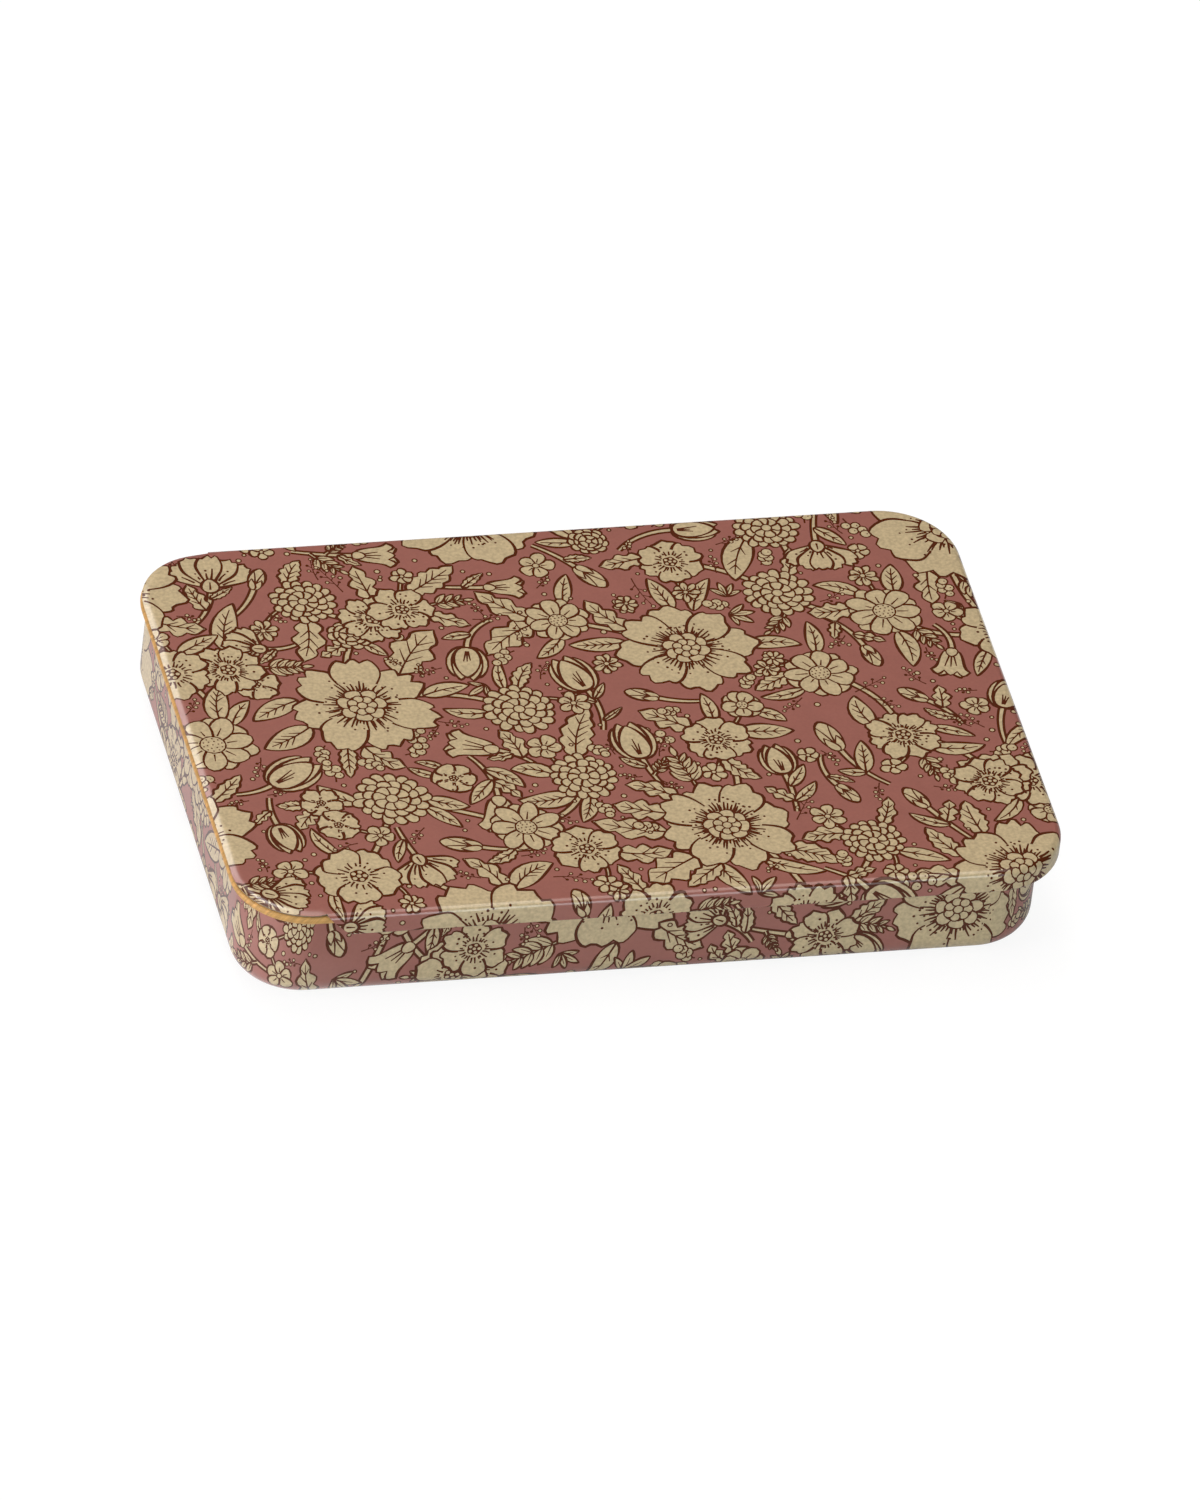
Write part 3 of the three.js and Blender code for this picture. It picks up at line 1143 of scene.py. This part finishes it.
def studio_floor():
    """A white floor: the camera sees it mostly as glow, with a faint shadow.

    As the tin mirrors it, it glows with painted light: dim in front as a painted shadow of the tin,
    brightest at the front left corner as painted light from the left, and softer behind.
    """
    nodes = Nodes("studio_floor")
    nodes.tree.nodes.remove(nodes.shader)
    rays = nodes.new("ShaderNodeLightPath").outputs
    x, y, _ = nodes.new("ShaderNodeSeparateXYZ", Vector=nodes.millimetres()).outputs
    # Painted light for reflections only: the glow's strength by place paints the tin's shadow on the floor
    # in front and a brighter floor at the front left.
    backward = nodes.combined("SUBTRACT", y, nodes.times(x, 0.6))
    in_front = nodes.spread(backward, -22, -8, 0.42, 1.2)
    behind = nodes.spread(backward, 4, 18, 1.0, 0.62)

    diffuse = nodes.new("ShaderNodeBsdfDiffuse", Color=(FLOOR_WHITE, FLOOR_WHITE, FLOOR_WHITE, 1))
    seen_glow = nodes.new("ShaderNodeEmission", Strength=FLOOR_GLOW)
    painted_reflection_glow = nodes.new("ShaderNodeEmission", Strength=nodes.times(in_front, behind))
    seen = nodes.new("ShaderNodeMixShader", Fac=nodes.times(rays["Is Camera Ray"], FLOOR_GLOW_SHARE))
    mirrored = nodes.new("ShaderNodeMixShader", Fac=rays["Is Glossy Ray"])
    output = nodes.tree.nodes["Material Output"]
    for node, first, second in ((seen, diffuse, seen_glow), (mirrored, seen, painted_reflection_glow)):
        nodes.set(node, 1, first.outputs[0])
        nodes.set(node, 2, second.outputs[0])
    nodes.set(output, "Surface", mirrored.outputs[0])

    mesh = bpy.data.meshes.new("studio_floor")
    corners = [(FLOOR_HALF * x, FLOOR_HALF * y, 0) for x, y in ((-1, -1), (1, -1), (1, 1), (-1, 1))]
    mesh.from_pydata(corners, [], [(0, 1, 2, 3)])
    mesh.materials.append(nodes.material)
    floor = bpy.data.objects.new("studio_floor", mesh)
    bpy.context.scene.collection.objects.link(floor)


def studio_world(ambient):
    """White to the camera, and a dim even light to everything else."""
    world = bpy.data.worlds.new("studio")
    bpy.context.scene.world = world
    world.use_nodes = True
    tree = world.node_tree
    background = tree.nodes["Background"]
    background.inputs["Color"].default_value = (1, 1, 1, 1)
    strength = tree.nodes.new("ShaderNodeMapRange")
    strength.inputs["To Min"].default_value = ambient
    strength.inputs["To Max"].default_value = 1.0
    rays = tree.nodes.new("ShaderNodeLightPath")
    tree.links.new(rays.outputs["Is Camera Ray"], strength.inputs["Value"])
    tree.links.new(strength.outputs[0], background.inputs["Strength"])


def softbox(name, place, width, height, level, colour):
    """A rectangular lamp that faces the tin. The level is the brightness of its surface."""
    lamp = bpy.data.lights.new(name, "AREA")
    lamp.shape = "RECTANGLE"
    lamp.size = width
    lamp.size_y = height
    lamp.energy = level * math.pi * width * height
    lamp.color = colour
    holder = bpy.data.objects.new(name, lamp)
    holder.location = place
    holder.rotation_euler = (-Vector(place)).to_track_quat("-Z", "Y").to_euler()
    bpy.context.scene.collection.objects.link(holder)


def studio_camera():
    level = math.cos(CAMERA_ELEVATION)
    across = math.sin(CAMERA_AZIMUTH) * level
    back = Vector((across, -math.cos(CAMERA_AZIMUTH) * level, math.sin(CAMERA_ELEVATION)))
    flat_right = Vector((math.cos(CAMERA_AZIMUTH), math.sin(CAMERA_AZIMUTH), 0))
    flat_up = back.cross(flat_right)
    right = flat_right * math.cos(CAMERA_ROLL) + flat_up * math.sin(CAMERA_ROLL)
    up = back.cross(right)
    place = back * CAMERA_DISTANCE + right * CAMERA_RIGHT + up * CAMERA_UP
    data = bpy.data.cameras.new("camera")
    data.lens = CAMERA_LENS
    data.sensor_width = 36
    data.clip_end = 20
    camera = bpy.data.objects.new("camera", data)
    camera.matrix_world = Matrix.Translation(place * MM) @ Matrix((right, up, back)).transposed().to_4x4()
    bpy.context.scene.collection.objects.link(camera)
    bpy.context.scene.camera = camera


materials = [
    printed_ink("print_ground", srgb(*GROUND_COLOUR), 0.03, 0.03, 0.75),
    printed_ink("print_cream", srgb(*CREAM_COLOUR), 0.15, 0.03, 0.75),
    printed_ink("print_brown", srgb(*BROWN_COLOUR), 0.05, 0.03, 0.4),
    gold_lacquer(),
    cut_edge(),
]

tray_sheet = TraySheet()
tray_print = flower_print(*TRAY_PRINT)
tray = sheet_object("tray", tray_sheet, visible_shapes(tray_sheet, tray_print), materials)
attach(tray, "tray")
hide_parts("base_tray")

lid_sheet = LidSheet()
lid_print = flower_print(*LID_PRINT)
lid = sheet_object("lid", lid_sheet, visible_shapes(lid_sheet, lid_print), materials)
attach(lid, "lid")
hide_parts("slide_lid")

studio_floor()
studio_world(0.1)
softbox("overhead", (0.0, 0.05, 1.5), 1.1, 1.2, 2.6, (1.0, 0.93, 0.87))
softbox("window", (-0.45, 1.5, 1.25), 0.7, 0.7, 4.0, (1.0, 0.98, 0.96))
softbox("corner", (-0.09, 0.9, 1.55), 0.36, 0.28, 19.0, (1.0, 0.96, 0.93))
softbox("front", (0.1, -1.8, 0.8), 1.2, 0.9, 3.95, (0.84, 0.98, 1.02))
softbox("left", (-0.55, -0.1, 0.14), 0.3, 0.3, 7.5, (1.0, 0.95, 0.98))
studio_camera()

bpy.context.scene.view_settings.view_transform = "Standard"
